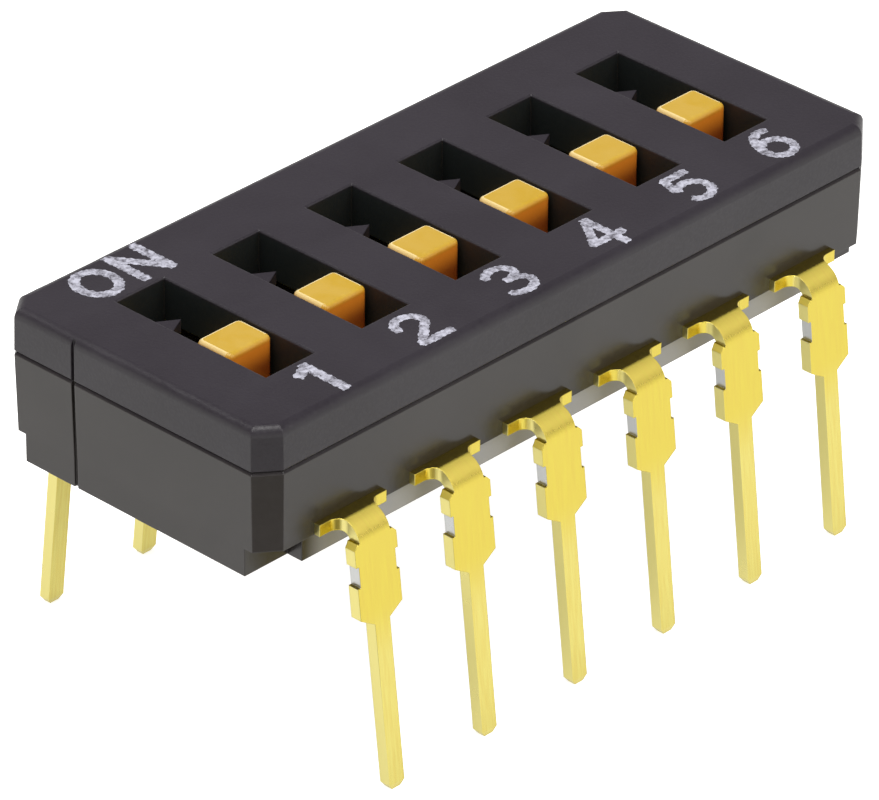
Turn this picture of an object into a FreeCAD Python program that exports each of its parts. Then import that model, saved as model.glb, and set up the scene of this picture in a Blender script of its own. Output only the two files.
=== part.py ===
import FreeCAD, Part
import os
import Sketcher

# Six-way slide switch for a printed circuit board, with two rows of bent sheet terminals.
# Frame: the origin is the centre of the housing's underside. X runs from switch 1 to switch 6,
# -Y is the side that the numbers stand on, +Y the side marked ON, and +Z is up.
# At rest every slider is at the -Y end of its travel.

DIMENSIONS = (
    # Layout
    ("positions", 6, "switches side by side"),
    ("pitch", 2.54, "between neighbouring switches"),
    ("travel", 1.05, "of a slider from off to on"),
    # Housing
    ("body_length", 17.1, "of the housing along X"),
    ("body_width", 7.1, "of the housing along Y"),
    ("corner_cut_x", 0.48, "leg of the cut-off corner along X"),
    ("corner_cut_y", 0.38, "leg of the cut-off corner along Y"),
    ("base_height", 2.33, "underside to parting line"),
    ("cover_thickness", 0.94, "parting line to top face"),
    ("cover_edge", 0.2, "radius round the top face"),
    ("parting_edge", 0.05, "small bevel each side of the parting line"),
    ("draft_angle", 1.2, "degrees, each way from the parting line"),
    ("foot_height", 0.6, "of the recessed lower part"),
    ("foot_length", 1.12, "of each end foot along X"),
    ("foot_inset", 0.6, "side wall to the side of a foot"),
    ("strip_inset", 0.22, "side wall to the strip between the feet"),
    ("groove_place", 1.57, "of the groove in one end face, along Y"),
    ("groove_width", 0.09, "of that groove"),
    ("groove_depth", 0.05, "of that groove"),
    # Slots in the cover
    ("slot_width", 1.26, "of a slot along X"),
    ("slot_length", 4.0, "of a slot along Y"),
    ("slot_edge", 0.03, "bevel round a slot's mouth"),
    ("nub_start", 0.6, "near end of the index nub's root, along Y"),
    ("nub_end", 1.4, "far end of the index nub's root, along Y"),
    ("nub_tip", 0.95, "place of the nub's tip along Y"),
    ("nub_reach", 0.68, "slot wall to the nub's tip"),
    ("nub_drop", 0.25, "top face to the top of the nub"),
    ("nub_thickness", 0.28, "of the nub"),
    # Pegs that locate the cover
    ("peg_diameter", 0.46, "of a locating peg"),
    ("peg_length", 0.5, "of a locating peg"),
    ("peg_row", 2.86, "centre line to the pegs' row"),
    ("peg_fit", 0.02, "clearance round and under a peg"),
    # Channels in the base
    ("channel_width", 1.72, "of a slider's channel along X"),
    ("channel_length", 4.5, "of a slider's channel along Y"),
    # Sliders
    ("knob_width", 1.14, "of the part in the slot, along X"),
    ("knob_length", 0.91, "of the part in the slot, along Y"),
    ("knob_recess", 0.01, "top face of the cover to the top of the knob"),
    ("knob_corner", 0.13, "radius of the knob's upright corners"),
    ("knob_edge", 0.1, "radius round the knob's top"),
    ("notch_fit", 0.04, "clearance of the knob's notch round the nub"),
    ("slider_fit", 0.06, "carrier to each side of its channel"),
    ("slider_gap", 0.12, "carrier to the cover above it"),
    ("carrier_length", 3.2, "of the slider's carrier along Y"),
    ("contact_room", 0.51, "height under the carrier, in which the contact lies"),
    # Movable contacts
    ("contact_sheet", 0.1, "thickness of a movable contact"),
    ("contact_width", 1.0, "of a movable contact"),
    ("contact_lift", 0.02, "dimple to pad"),
    ("dimple_reach", 0.7, "centre of a contact to each dimple"),
    ("dimple_flat", 0.08, "length of a dimple's sole"),
    ("crown_reach", 0.3, "half the length of a contact's crown"),
    ("crown_seat", 0.2, "depth of the crown's seat in the carrier"),
    ("tail_reach", 1.1, "centre of a contact to each upturned end"),
    ("tail_rise", 0.26, "of an upturned end over the dimples"),
    ("contact_bend", 0.07, "inner radius of a contact's bends"),
    ("seat_fit", 0.04, "clearance beside the crown in its seat"),
    # Terminals
    ("sheet", 0.25, "thickness of the terminals' sheet"),
    ("head_width", 1.78, "of the broad head at the side wall"),
    ("head_reach", 0.1, "of the head beyond the side wall"),
    ("head_depth", 0.42, "of the head inside the side wall"),
    ("pad_width", 1.2, "of the contact pad in the channel's floor"),
    ("pad_break", 0.5, "between the pads of the two rows"),
    ("neck_width", 0.8, "of the neck outside the head"),
    ("neck_fillet", 0.25, "radius between the head and the neck"),
    ("bend_radius", 0.26, "inside the terminal's bend"),
    ("shoulder_width", 1.11, "of the shoulder over the board"),
    ("shoulder_top", 0.47, "height of the shoulder's upper corners"),
    ("shoulder_corner", 0.1, "cut across the shoulder's upper corners"),
    ("seat_level", -1.09, "height of the shoulder's lower corners, which stand on the board"),
    ("pin_top", -1.3, "height at which the shoulder has narrowed to the pin"),
    ("pin_width", 0.4, "of a pin"),
    ("tip_level", -4.88, "height of the pins' tips"),
    ("tip_taper", 0.12, "length of a pin's tapered tip"),
    ("tip_width", 0.22, "of a pin's end face along X"),
    ("tip_thickness", 0.17, "of a pin's end face along Y"),
    ("row_reach", 4.27, "centre line to a row of terminals at seat_level"),
    ("splay_angle", 6.4, "degrees, by which the pins lean outwards"),
    ("dam_top", 0.02, "upper edge of the notch where the dam bar was sheared off"),
    ("dam_bottom", -0.42, "lower edge of that notch"),
    ("dam_depth", 0.07, "of that notch"),
)

PARTS_FOLDER = "parts"
HORIZONTAL = "XY_Plane"
FRONT = "XZ_Plane"
SIDE = "YZ_Plane"

# Sums that several pieces share, written once.
TOP = "(Dims.base_height + Dims.cover_thickness)"
HALF_LENGTH = "(Dims.body_length / 2)"
HALF_WIDTH = "(Dims.body_width / 2)"
FLOOR = "(Dims.foot_height + Dims.sheet)"
HEAD_EDGE = f"({HALF_WIDTH} + Dims.head_reach)"
HEAD_ROOT = f"({HALF_WIDTH} - Dims.head_depth)"
FIRST_X = "(-(Dims.positions - 1) * Dims.pitch / 2)"
ROW_SPAN = "((Dims.positions - 1) * Dims.pitch)"
PEG_SPAN = "((Dims.positions - 2) * Dims.pitch)"
FIRST_PEG_X = f"({FIRST_X} + Dims.pitch / 2)"
NUB_TOP = f"({TOP} - Dims.nub_drop)"
NUB_BOTTOM = f"({NUB_TOP} - Dims.nub_thickness)"
CARRIER_TOP = "(Dims.base_height - Dims.slider_gap)"
CARRIER_BOTTOM = f"({FLOOR} + Dims.contact_room)"
CROWN_TOP = f"({CARRIER_BOTTOM} + Dims.crown_seat)"
# The near row's pads end at the centre line and the far row's start beyond the break, so that a
# contact bridges them only at the on end of its travel.
NEAR_PAD_END = "0"
FAR_PAD_END = "Dims.pad_break"
# The end faces lean in by this much between the parting line and the lead level.
DRAFT_INSET = "(tan(Dims.draft_angle) * (Dims.base_height - Dims.foot_height))"

doc = FreeCAD.newDocument("slide_switch")


def make_sheet():
    """Write the driving dimensions into a spreadsheet, one aliased cell each."""
    sheet = doc.addObject("Spreadsheet::Sheet", "Dims")
    for row, (name, value, note) in enumerate(DIMENSIONS, start=1):
        sheet.set(f"A{row}", name)
        sheet.set(f"B{row}", str(value))
        sheet.set(f"C{row}", note)
        sheet.setAlias(f"B{row}", name)
    doc.recompute()
    return sheet


def number(expression):
    """Return the present value of an expression on the sheet."""
    value = doc.getObject("Dims").evalExpression(expression.replace("Dims.", ""))
    return float(value.Value if hasattr(value, "Value") else value)


def origin_plane(body, role):
    """Return the body's own origin plane or axis with this role."""
    for feature in body.Origin.OriginFeatures:
        if feature.Role == role:
            return feature
    raise ValueError(f"{body.Label} has no {role}")


def new_body(label):
    """Start an empty body whose label names its file."""
    body = doc.addObject("PartDesign::Body", label)
    body.Label = label
    return body


def new_sketch(body, name, role=HORIZONTAL, offset="0"):
    """Attach an empty sketch to one of the body's origin planes, moved along its normal."""
    sketch = body.newObject("Sketcher::SketchObject", name)
    sketch.AttachmentSupport = [(origin_plane(body, role), "")]
    sketch.MapMode = "FlatFace"
    sketch.setExpression("AttachmentOffset.Base.z", offset)
    return sketch


def fix_coordinate(sketch, geometry, point, kind, expression):
    """Hold one coordinate of a point at an expression, measured from the sketch's origin."""
    constraint = Sketcher.Constraint(kind, -1, 1, geometry, point, number(expression))
    index = sketch.addConstraint(constraint)
    sketch.setExpression(f"Constraints[{index}]", expression)


def draw_outline(sketch, corners):
    """Draw a closed outline of straight lines whose corners are pairs of expressions."""
    first = sketch.GeometryCount
    points = [FreeCAD.Vector(number(x), number(y), 0) for x, y in corners]
    for start, end in zip(points, points[1:] + points[:1]):
        sketch.addGeometry(Part.LineSegment(start, end))
    for index, (x, y) in enumerate(corners):
        line = first + index
        line_before = first + (index - 1) % len(corners)
        sketch.addConstraint(Sketcher.Constraint("Coincident", line_before, 2, line, 1))
        fix_coordinate(sketch, line, 1, "DistanceX", x)
        fix_coordinate(sketch, line, 1, "DistanceY", y)


def draw_box(sketch, low_x, high_x, low_y, high_y):
    """Draw a rectangle between two pairs of expressions."""
    draw_outline(sketch, [(low_x, low_y), (high_x, low_y), (high_x, high_y), (low_x, high_y)])


def draw_circle(sketch, x, y, diameter):
    """Draw a circle with its centre and diameter bound to expressions."""
    centre = FreeCAD.Vector(number(x), number(y), 0)
    index = sketch.GeometryCount
    sketch.addGeometry(Part.Circle(centre, FreeCAD.Vector(0, 0, 1), number(diameter) / 2))
    fix_coordinate(sketch, index, 3, "DistanceX", x)
    fix_coordinate(sketch, index, 3, "DistanceY", y)
    size = sketch.addConstraint(Sketcher.Constraint("Diameter", index, number(diameter)))
    sketch.setExpression(f"Constraints[{size}]", diameter)


def extrude(body, sketch, kind, length, reverse=False, both_ways=False, taper=None):
    """Add a Pad or a Pocket of a sketch, with its length bound to an expression."""
    feature = body.newObject(f"PartDesign::{kind}", f"{sketch.Name}_{kind.lower()}")
    feature.Profile = sketch
    feature.setExpression("Length", length)
    feature.Reversed = reverse
    if both_ways:
        feature.SideType = "Symmetric"
    if taper:
        feature.setExpression("TaperAngle", taper)
    sketch.Visibility = False
    return feature


def repeat_along_x(body, features, span, count):
    """Repeat features along X over a span."""
    pattern = body.newObject("PartDesign::LinearPattern", f"{features[0].Name}_row")
    pattern.Originals = features
    pattern.Direction = (origin_plane(body, "X_Axis"), [""])
    pattern.setExpression("Length", span)
    pattern.setExpression("Occurrences", count)
    body.Tip = pattern
    return pattern


def edge_names(shape, wanted):
    """Name the edges of a shape that pass a test on the edge."""
    return [f"Edge{index}" for index, edge in enumerate(shape.Edges, start=1) if wanted(edge)]


def is_level(edge, height):
    """Say whether an edge lies flat at a height."""
    box = edge.BoundBox
    return abs(box.ZMin - height) < TOUCH and abs(box.ZMax - height) < TOUCH


def round_edges(body, kind, size, wanted):
    """Add a Fillet or a Chamfer on the edges of the body's last feature that pass a test."""
    doc.recompute()
    base = body.Tip
    feature = body.newObject(f"PartDesign::{kind}", f"{base.Name}_{kind.lower()}")
    feature.Base = (base, edge_names(base.Shape, wanted))
    feature.setExpression("Radius" if kind == "Fillet" else "Size", size)
    return feature


def housing_outline():
    """Return the housing's outline with its four corners cut off, anticlockwise."""
    cut_x = f"({HALF_LENGTH} - Dims.corner_cut_x)"
    cut_y = f"({HALF_WIDTH} - Dims.corner_cut_y)"
    return [
        (cut_x, f"-{HALF_WIDTH}"), (HALF_LENGTH, f"-{cut_y}"),
        (HALF_LENGTH, cut_y), (cut_x, HALF_WIDTH),
        (f"-{cut_x}", HALF_WIDTH), (f"-{HALF_LENGTH}", cut_y),
        (f"-{HALF_LENGTH}", f"-{cut_y}"), (f"-{cut_x}", f"-{HALF_WIDTH}"),
    ]


def is_outer(edge):
    """Say whether an edge's middle lies near the housing's outer faces."""
    middle = edge.valueAt((edge.FirstParameter + edge.LastParameter) / 2)
    inside_x = number(HALF_LENGTH) - number("Dims.corner_cut_x")
    inside_y = number(HALF_WIDTH) - number("Dims.corner_cut_y")
    return abs(middle.x) > inside_x or abs(middle.y) > inside_y


def cut_end_groove(body, low, high):
    """Cut the fine upright groove in the -X end face between two heights."""
    sketch = new_sketch(body, f"{body.Label}_groove", HORIZONTAL, low)
    draw_box(
        sketch,
        f"-{HALF_LENGTH}", f"-{HALF_LENGTH} + Dims.groove_depth + {DRAFT_INSET}",
        "Dims.groove_place - Dims.groove_width / 2", "Dims.groove_place + Dims.groove_width / 2",
    )
    return extrude(body, sketch, "Pocket", f"{high} - {low}", reverse=True)


def make_cover():
    """The cover: a plate with a rounded edge, a slot with an index nub per switch, and pegs."""
    body = new_body("cover")
    outline = new_sketch(body, "cover_outline", HORIZONTAL, "Dims.base_height")
    draw_outline(outline, housing_outline())
    extrude(body, outline, "Pad", "Dims.cover_thickness", taper="-Dims.draft_angle")
    top = number(TOP)
    bottom = number("Dims.base_height")
    round_edges(body, "Fillet", "Dims.cover_edge", lambda edge: is_level(edge, top))
    round_edges(body, "Chamfer", "Dims.parting_edge", lambda edge: is_level(edge, bottom))
    cut_end_groove(body, "Dims.base_height", TOP)

    slot = new_sketch(body, "slot", HORIZONTAL, "Dims.base_height")
    slot_low = f"{FIRST_X} - Dims.slot_width / 2"
    slot_high = f"{FIRST_X} + Dims.slot_width / 2"
    draw_box(slot, slot_low, slot_high, "-Dims.slot_length / 2", "Dims.slot_length / 2")
    slot_cut = extrude(body, slot, "Pocket", "Dims.cover_thickness", reverse=True)
    slots = repeat_along_x(body, [slot_cut], ROW_SPAN, "Dims.positions")
    slots.Label = "slots"
    round_edges(
        body, "Chamfer", "Dims.slot_edge",
        lambda edge: is_level(edge, top) and not is_outer(edge),
    )

    nub = new_sketch(body, "nub", HORIZONTAL, NUB_BOTTOM)
    nub_root = f"{slot_low} - Dims.slot_edge"
    draw_outline(nub, [
        (nub_root, "Dims.nub_start"),
        (slot_low, "Dims.nub_start"),
        (f"{slot_low} + Dims.nub_reach", "Dims.nub_tip"),
        (slot_low, "Dims.nub_end"),
        (nub_root, "Dims.nub_end"),
    ])
    nub_pad = extrude(body, nub, "Pad", "Dims.nub_thickness")
    repeat_along_x(body, [nub_pad], ROW_SPAN, "Dims.positions")

    pegs = new_sketch(body, "pegs", HORIZONTAL, "Dims.base_height")
    draw_circle(pegs, FIRST_PEG_X, "Dims.peg_row", "Dims.peg_diameter")
    draw_circle(pegs, FIRST_PEG_X, "-Dims.peg_row", "Dims.peg_diameter")
    peg_pad = extrude(body, pegs, "Pad", "Dims.peg_length", reverse=True)
    repeat_along_x(body, [peg_pad], PEG_SPAN, "Dims.positions - 1")


def terminal_seat(side, pad_end):
    """Return the T-shaped outline that a terminal fills in the base, on the +Y or -Y side."""
    x_head = "Dims.head_width / 2"
    x_pad = "Dims.pad_width / 2"
    edge = f"{side} * {HEAD_EDGE}"
    root = f"{side} * {HEAD_ROOT}"
    return [
        (f"{FIRST_X} - {x_head}", edge), (f"{FIRST_X} + {x_head}", edge),
        (f"{FIRST_X} + {x_head}", root), (f"{FIRST_X} + {x_pad}", root),
        (f"{FIRST_X} + {x_pad}", pad_end), (f"{FIRST_X} - {x_pad}", pad_end),
        (f"{FIRST_X} - {x_pad}", root), (f"{FIRST_X} - {x_head}", root),
    ]


def make_base():
    """The base: a tray of channels over a recessed lower part, moulded round the terminals."""
    body = new_body("base")
    outline = new_sketch(body, "base_outline", HORIZONTAL, "Dims.base_height")
    draw_outline(outline, housing_outline())
    extrude(
        body, outline, "Pad", "Dims.base_height - Dims.foot_height",
        reverse=True, taper="-Dims.draft_angle",
    )
    parting = number("Dims.base_height")
    round_edges(body, "Chamfer", "Dims.parting_edge", lambda edge: is_level(edge, parting))

    lower = new_sketch(body, "lower_part", HORIZONTAL, "0")
    foot_end = f"({HALF_LENGTH} - {DRAFT_INSET})"
    strip_end = f"({foot_end} - Dims.foot_length)"
    foot_side = f"({HALF_WIDTH} - Dims.foot_inset)"
    strip_side = f"({HALF_WIDTH} - Dims.strip_inset)"
    draw_outline(lower, [
        (strip_end, f"-{strip_side}"), (strip_end, f"-{foot_side}"), (foot_end, f"-{foot_side}"),
        (foot_end, foot_side), (strip_end, foot_side), (strip_end, strip_side),
        (f"-{strip_end}", strip_side), (f"-{strip_end}", foot_side), (f"-{foot_end}", foot_side),
        (f"-{foot_end}", f"-{foot_side}"), (f"-{strip_end}", f"-{foot_side}"),
        (f"-{strip_end}", f"-{strip_side}"),
    ])
    extrude(body, lower, "Pad", "Dims.foot_height")
    cut_end_groove(body, "0", "Dims.base_height")

    channel = new_sketch(body, "channel", HORIZONTAL, FLOOR)
    draw_box(
        channel,
        f"{FIRST_X} - Dims.channel_width / 2", f"{FIRST_X} + Dims.channel_width / 2",
        "-Dims.channel_length / 2", "Dims.channel_length / 2",
    )
    channel_cut = extrude(body, channel, "Pocket", f"Dims.base_height - {FLOOR}", reverse=True)

    seats = new_sketch(body, "terminal_seats", HORIZONTAL, "Dims.foot_height")
    draw_outline(seats, terminal_seat("-1", NEAR_PAD_END))
    draw_outline(seats, terminal_seat("1", FAR_PAD_END))
    seat_cut = extrude(body, seats, "Pocket", "Dims.sheet", reverse=True)
    repeat_along_x(body, [channel_cut, seat_cut], ROW_SPAN, "Dims.positions")

    sockets = new_sketch(body, "peg_sockets", HORIZONTAL, "Dims.base_height")
    socket_size = "Dims.peg_diameter + 2 * Dims.peg_fit"
    draw_circle(sockets, FIRST_PEG_X, "Dims.peg_row", socket_size)
    draw_circle(sockets, FIRST_PEG_X, "-Dims.peg_row", socket_size)
    socket_cut = extrude(body, sockets, "Pocket", "Dims.peg_length + Dims.peg_fit")
    repeat_along_x(body, [socket_cut], PEG_SPAN, "Dims.positions - 1")


def place(body, x, y):
    """Set the body down at a pair of expressions."""
    body.setExpression("Placement.Base.x", x)
    body.setExpression("Placement.Base.y", y)


def switch_x(index):
    """Return the expression for the centre line of a switch, counted from 1."""
    return f"{FIRST_X} + {index - 1} * Dims.pitch"


def make_slider(index):
    """A slider: a knob that fills the slot's width, on a carrier that runs in the channel."""
    body = new_body(f"slider_{index}")
    tag = body.Label
    knob = new_sketch(body, f"{tag}_knob", HORIZONTAL, CARRIER_BOTTOM)
    knob_x = "Dims.knob_width / 2"
    knob_y = "Dims.knob_length / 2"
    draw_box(knob, f"-{knob_x}", knob_x, f"-{knob_y}", knob_y)
    knob_height = f"{TOP} - Dims.knob_recess - {CARRIER_BOTTOM}"
    extrude(body, knob, "Pad", knob_height)
    round_edges(body, "Fillet", "Dims.knob_corner", lambda edge: edge.BoundBox.ZLength > TOUCH)
    knob_top = number(f"{TOP} - Dims.knob_recess")
    round_edges(body, "Fillet", "Dims.knob_edge", lambda edge: is_level(edge, knob_top))

    # The notch lets the knob's far corner pass over the index nub at the on end of the travel.
    notch = new_sketch(body, f"{tag}_notch", HORIZONTAL, f"{NUB_BOTTOM} - Dims.notch_fit")
    wall = "(-Dims.slot_width / 2)"
    notch_tip = f"{wall} + Dims.nub_reach + Dims.notch_fit"
    notch_start = "Dims.nub_start - Dims.travel / 2 - Dims.notch_fit"
    notch_turn = "Dims.nub_tip - Dims.travel / 2 - Dims.notch_fit"
    draw_outline(notch, [
        (wall, notch_start), (notch_tip, notch_turn),
        (notch_tip, "Dims.knob_length"), (wall, "Dims.knob_length"),
    ])
    extrude(body, notch, "Pocket", "Dims.nub_thickness + 2 * Dims.notch_fit", reverse=True)

    carrier = new_sketch(body, f"{tag}_carrier", HORIZONTAL, CARRIER_BOTTOM)
    carrier_x = "(Dims.channel_width / 2 - Dims.slider_fit)"
    carrier_y = "(Dims.carrier_length / 2)"
    draw_box(carrier, f"-{carrier_x}", carrier_x, f"-{carrier_y}", carrier_y)
    extrude(body, carrier, "Pad", f"{CARRIER_TOP} - {CARRIER_BOTTOM}")

    seat = new_sketch(body, f"{tag}_seat", HORIZONTAL, CARRIER_BOTTOM)
    seat_x = "(Dims.contact_width / 2 + Dims.seat_fit)"
    seat_y = "(Dims.dimple_reach - Dims.dimple_flat)"
    draw_box(seat, f"-{seat_x}", seat_x, f"-{seat_y}", seat_y)
    extrude(body, seat, "Pocket", "Dims.crown_seat", reverse=True)
    place(body, switch_x(index), "-Dims.travel / 2")


def make_contact(index):
    """A movable contact: a bent strip with a crown in the slider and a dimple over each pad."""
    body = new_body(f"contact_{index}")
    strip = new_sketch(body, f"{body.Label}_strip", SIDE)
    sole = f"({FLOOR} + Dims.contact_lift)"
    top_of_sole = f"({sole} + Dims.contact_sheet)"
    under_crown = f"({CROWN_TOP} - Dims.contact_sheet)"
    tail_low = f"({sole} + Dims.tail_rise)"
    tail_high = f"({tail_low} + Dims.contact_sheet)"
    inner_dimple = "(Dims.dimple_reach - Dims.dimple_flat / 2)"
    outer_dimple = "(Dims.dimple_reach + Dims.dimple_flat / 2)"
    # Each sloping run is one sheet thick, measured along Y, so its two edges are this far apart.
    run = "(Dims.contact_sheet * 0.8)"
    lower_half = [
        ("Dims.crown_reach", under_crown), (f"{inner_dimple} - {run} / 2", sole),
        (f"{outer_dimple} + {run} / 2", sole), ("Dims.tail_reach", tail_low),
    ]
    upper_half = [
        ("Dims.tail_reach", tail_high), (outer_dimple, top_of_sole),
        (inner_dimple, top_of_sole), (f"Dims.crown_reach + {run}", CROWN_TOP),
    ]
    mirrored = [(f"-({y})", z) for y, z in reversed(lower_half + upper_half)]
    draw_outline(strip, lower_half + upper_half + mirrored)
    extrude(body, strip, "Pad", "Dims.contact_width", both_ways=True)
    place(body, switch_x(index), "-Dims.travel / 2")


def leg_place(height, face):
    """Return the distance of a terminal's leg from the centre line at a height.

    face is -1 on the leg's inner face, 0 in the middle of the sheet and 1 on its outer face.
    """
    lean = f"(Dims.seat_level - ({height})) * tan(Dims.splay_angle)"
    offset = f"{face} * Dims.sheet / 2 / cos(Dims.splay_angle)"
    return f"(Dims.row_reach + {lean} + {offset})"


def trim_front(body, tag):
    """Cut the leg's shoulder, dam notches, pin and tip out of the full sheet width."""
    sketch = new_sketch(body, f"{tag}_front", FRONT)
    shoulder = "Dims.shoulder_width / 2"
    notch = f"{shoulder} - Dims.dam_depth"
    edge = [
        (f"{shoulder} - Dims.shoulder_corner", "Dims.shoulder_top"),
        (shoulder, "Dims.shoulder_top - Dims.shoulder_corner"),
        (shoulder, "Dims.dam_top"), (notch, "Dims.dam_top"),
        (notch, "Dims.dam_bottom"), (shoulder, "Dims.dam_bottom"),
        (shoulder, "Dims.seat_level"),
        ("Dims.pin_width / 2", "Dims.pin_top"),
        ("Dims.pin_width / 2", "Dims.tip_level + Dims.tip_taper"),
        ("Dims.tip_width / 2", "Dims.tip_level"),
        ("Dims.head_width", "Dims.tip_level"),
        ("Dims.head_width", "Dims.shoulder_top"),
    ]
    draw_outline(sketch, edge)
    draw_outline(sketch, [(f"-({x})", z) for x, z in reversed(edge)])
    extrude(body, sketch, "Pocket", f"2 * {leg_place('Dims.tip_level', 1)}", both_ways=True)


def trim_plan(body, tag, pad_end):
    """Narrow the plate to the pad inside the head and, over two fillets, to the neck outside."""
    sketch = new_sketch(body, f"{tag}_plan", HORIZONTAL, "Dims.shoulder_top")
    fillets = new_sketch(body, f"{tag}_fillets", HORIZONTAL, "Dims.shoulder_top")
    head = "Dims.head_width / 2"
    neck = "Dims.neck_width / 2"
    fillet_x = f"({neck} + Dims.neck_fillet)"
    fillet_y = f"({HEAD_EDGE} + Dims.neck_fillet)"
    beyond = leg_place("Dims.seat_level", 1)
    for side in ("", "-"):
        draw_outline(sketch, [
            (f"{side}Dims.pad_width / 2", pad_end), (f"{side}{head}", pad_end),
            (f"{side}{head}", HEAD_ROOT), (f"{side}Dims.pad_width / 2", HEAD_ROOT),
        ])
        draw_outline(sketch, [
            (f"{side}{fillet_x}", HEAD_EDGE), (f"{side}{head}", HEAD_EDGE),
            (f"{side}{head}", beyond), (f"{side}{neck}", beyond),
            (f"{side}{neck}", fillet_y), (f"{side}{fillet_x}", fillet_y),
        ])
        draw_circle(fillets, f"{side}{fillet_x}", fillet_y, "2 * Dims.neck_fillet")
    for cut in (sketch, fillets):
        extrude(body, cut, "Pocket", f"{FLOOR} - Dims.shoulder_top", reverse=True)


def make_terminal(index, switch, side, pad_end):
    """A terminal: one sheet, flat through the side wall and bent down to a shoulder and a pin.

    It is drawn leading away along +Y. side is 1 for the +Y row and -1 for the -Y row, whose
    terminals are turned half a turn, and pad_end is where its pad ends before that turn.
    """
    body = new_body(f"terminal_{index}")
    tag = body.Label
    profile = new_sketch(body, f"{tag}_profile", SIDE)
    taper_start = "(Dims.tip_level + Dims.tip_taper)"
    tip_middle = leg_place("Dims.tip_level", 0)
    inner_corner = (leg_place("Dims.foot_height", -1), "Dims.foot_height")
    outer_corner = (leg_place(FLOOR, 1), FLOOR)
    draw_outline(profile, [
        (pad_end, "Dims.foot_height"), inner_corner,
        (leg_place(taper_start, -1), taper_start),
        (f"{tip_middle} - Dims.tip_thickness / 2", "Dims.tip_level"),
        (f"{tip_middle} + Dims.tip_thickness / 2", "Dims.tip_level"),
        (leg_place(taper_start, 1), taper_start),
        outer_corner, (pad_end, FLOOR),
    ])
    extrude(body, profile, "Pad", "Dims.head_width", both_ways=True)
    for corner, radius in (
        (inner_corner, "Dims.bend_radius"),
        (outer_corner, "Dims.bend_radius + Dims.sheet"),
    ):
        along_y, height = (number(value) for value in corner)
        round_edges(
            body, "Fillet", radius,
            lambda edge: is_level(edge, height) and abs(edge.CenterOfMass.y - along_y) < TOUCH,
        )
    trim_plan(body, tag, pad_end)
    trim_front(body, tag)
    place(body, switch_x(switch), "0")
    if side < 0:
        body.Placement.Rotation = FreeCAD.Rotation(FreeCAD.Vector(0, 0, 1), HALF_TURN)


def check_and_export():
    """Stop if anything failed, then write one STEP file per piece."""
    doc.recompute()
    for item in doc.Objects:
        if "Invalid" in item.State or "Error" in item.State:
            raise RuntimeError(f"{item.Label} failed: {item.State}")
    bodies = [item for item in doc.Objects if item.TypeId == "PartDesign::Body"]
    for body in bodies:
        shape = body.Shape
        if shape.isNull() or not shape.isValid() or len(shape.Solids) != 1:
            raise RuntimeError(f"{body.Label} is not one valid solid")
    os.makedirs(PARTS_FOLDER, exist_ok=True)
    for body in bodies:
        body.Shape.exportStep(os.path.join(PARTS_FOLDER, f"{body.Label}.step"))
        print(f"{body.Label}: volume {body.Shape.Volume:.4f} mm3")


TOUCH = 1e-4
HALF_TURN = 180

make_sheet()
switches = range(1, int(number("Dims.positions")) + 1)
make_cover()
make_base()
for switch in switches:
    make_slider(switch)
    make_contact(switch)
# Terminals 1 to 6 stand on the -Y side from left to right, and the rest come back on the +Y side.
for switch in switches:
    make_terminal(switch, switch, -1, NEAR_PAD_END)
    make_terminal(2 * len(switches) + 1 - switch, switch, 1, FAR_PAD_END)
check_and_export()
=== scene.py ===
"""Finishes, printing and studio for a six-way slide switch with two rows of gold terminals.

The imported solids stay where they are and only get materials. The printed legends are the one
thing added to them: thin ink surfaces on the cover's top face. Lengths in the classes are in
millimetres, and become metres when a mesh or a shader takes them. Heights count from the
housing's underside, and -Y is the side of the figures.
"""

from __future__ import annotations

import logging
from dataclasses import dataclass
from enum import Enum

import bpy
import numpy as np
from mathutils import Matrix, Vector

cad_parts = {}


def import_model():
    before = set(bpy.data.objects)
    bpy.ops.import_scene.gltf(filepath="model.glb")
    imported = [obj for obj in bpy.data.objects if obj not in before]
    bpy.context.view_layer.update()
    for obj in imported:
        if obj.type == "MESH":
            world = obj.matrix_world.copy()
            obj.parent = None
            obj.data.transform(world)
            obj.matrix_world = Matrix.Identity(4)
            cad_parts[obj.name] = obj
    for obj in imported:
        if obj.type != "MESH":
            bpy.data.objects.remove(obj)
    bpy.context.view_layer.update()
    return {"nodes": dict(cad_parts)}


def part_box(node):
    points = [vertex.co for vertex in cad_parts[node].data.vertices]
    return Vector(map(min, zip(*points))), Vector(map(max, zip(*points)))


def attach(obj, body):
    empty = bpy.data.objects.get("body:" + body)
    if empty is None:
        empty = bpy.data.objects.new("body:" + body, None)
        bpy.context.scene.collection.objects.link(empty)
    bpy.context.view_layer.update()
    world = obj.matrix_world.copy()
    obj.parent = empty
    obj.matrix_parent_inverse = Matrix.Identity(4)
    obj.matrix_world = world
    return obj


log = logging.getLogger("slide_switch")

MM = 0.001
PITCH = 2.54
POSITIONS = 6
PHOTO_WIDTH = 879

Colour = tuple[float, float, float]
Place = tuple[float, float, float]
Point = tuple[float, float]
Socket = bpy.types.NodeSocket

WHITE: Colour = (1.0, 1.0, 1.0)


class Plating(Enum):
    """What a sheet metal piece is plated with."""

    BRIGHT_GOLD = "bright_gold"
    SPRING_GOLD = "spring_gold"


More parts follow.
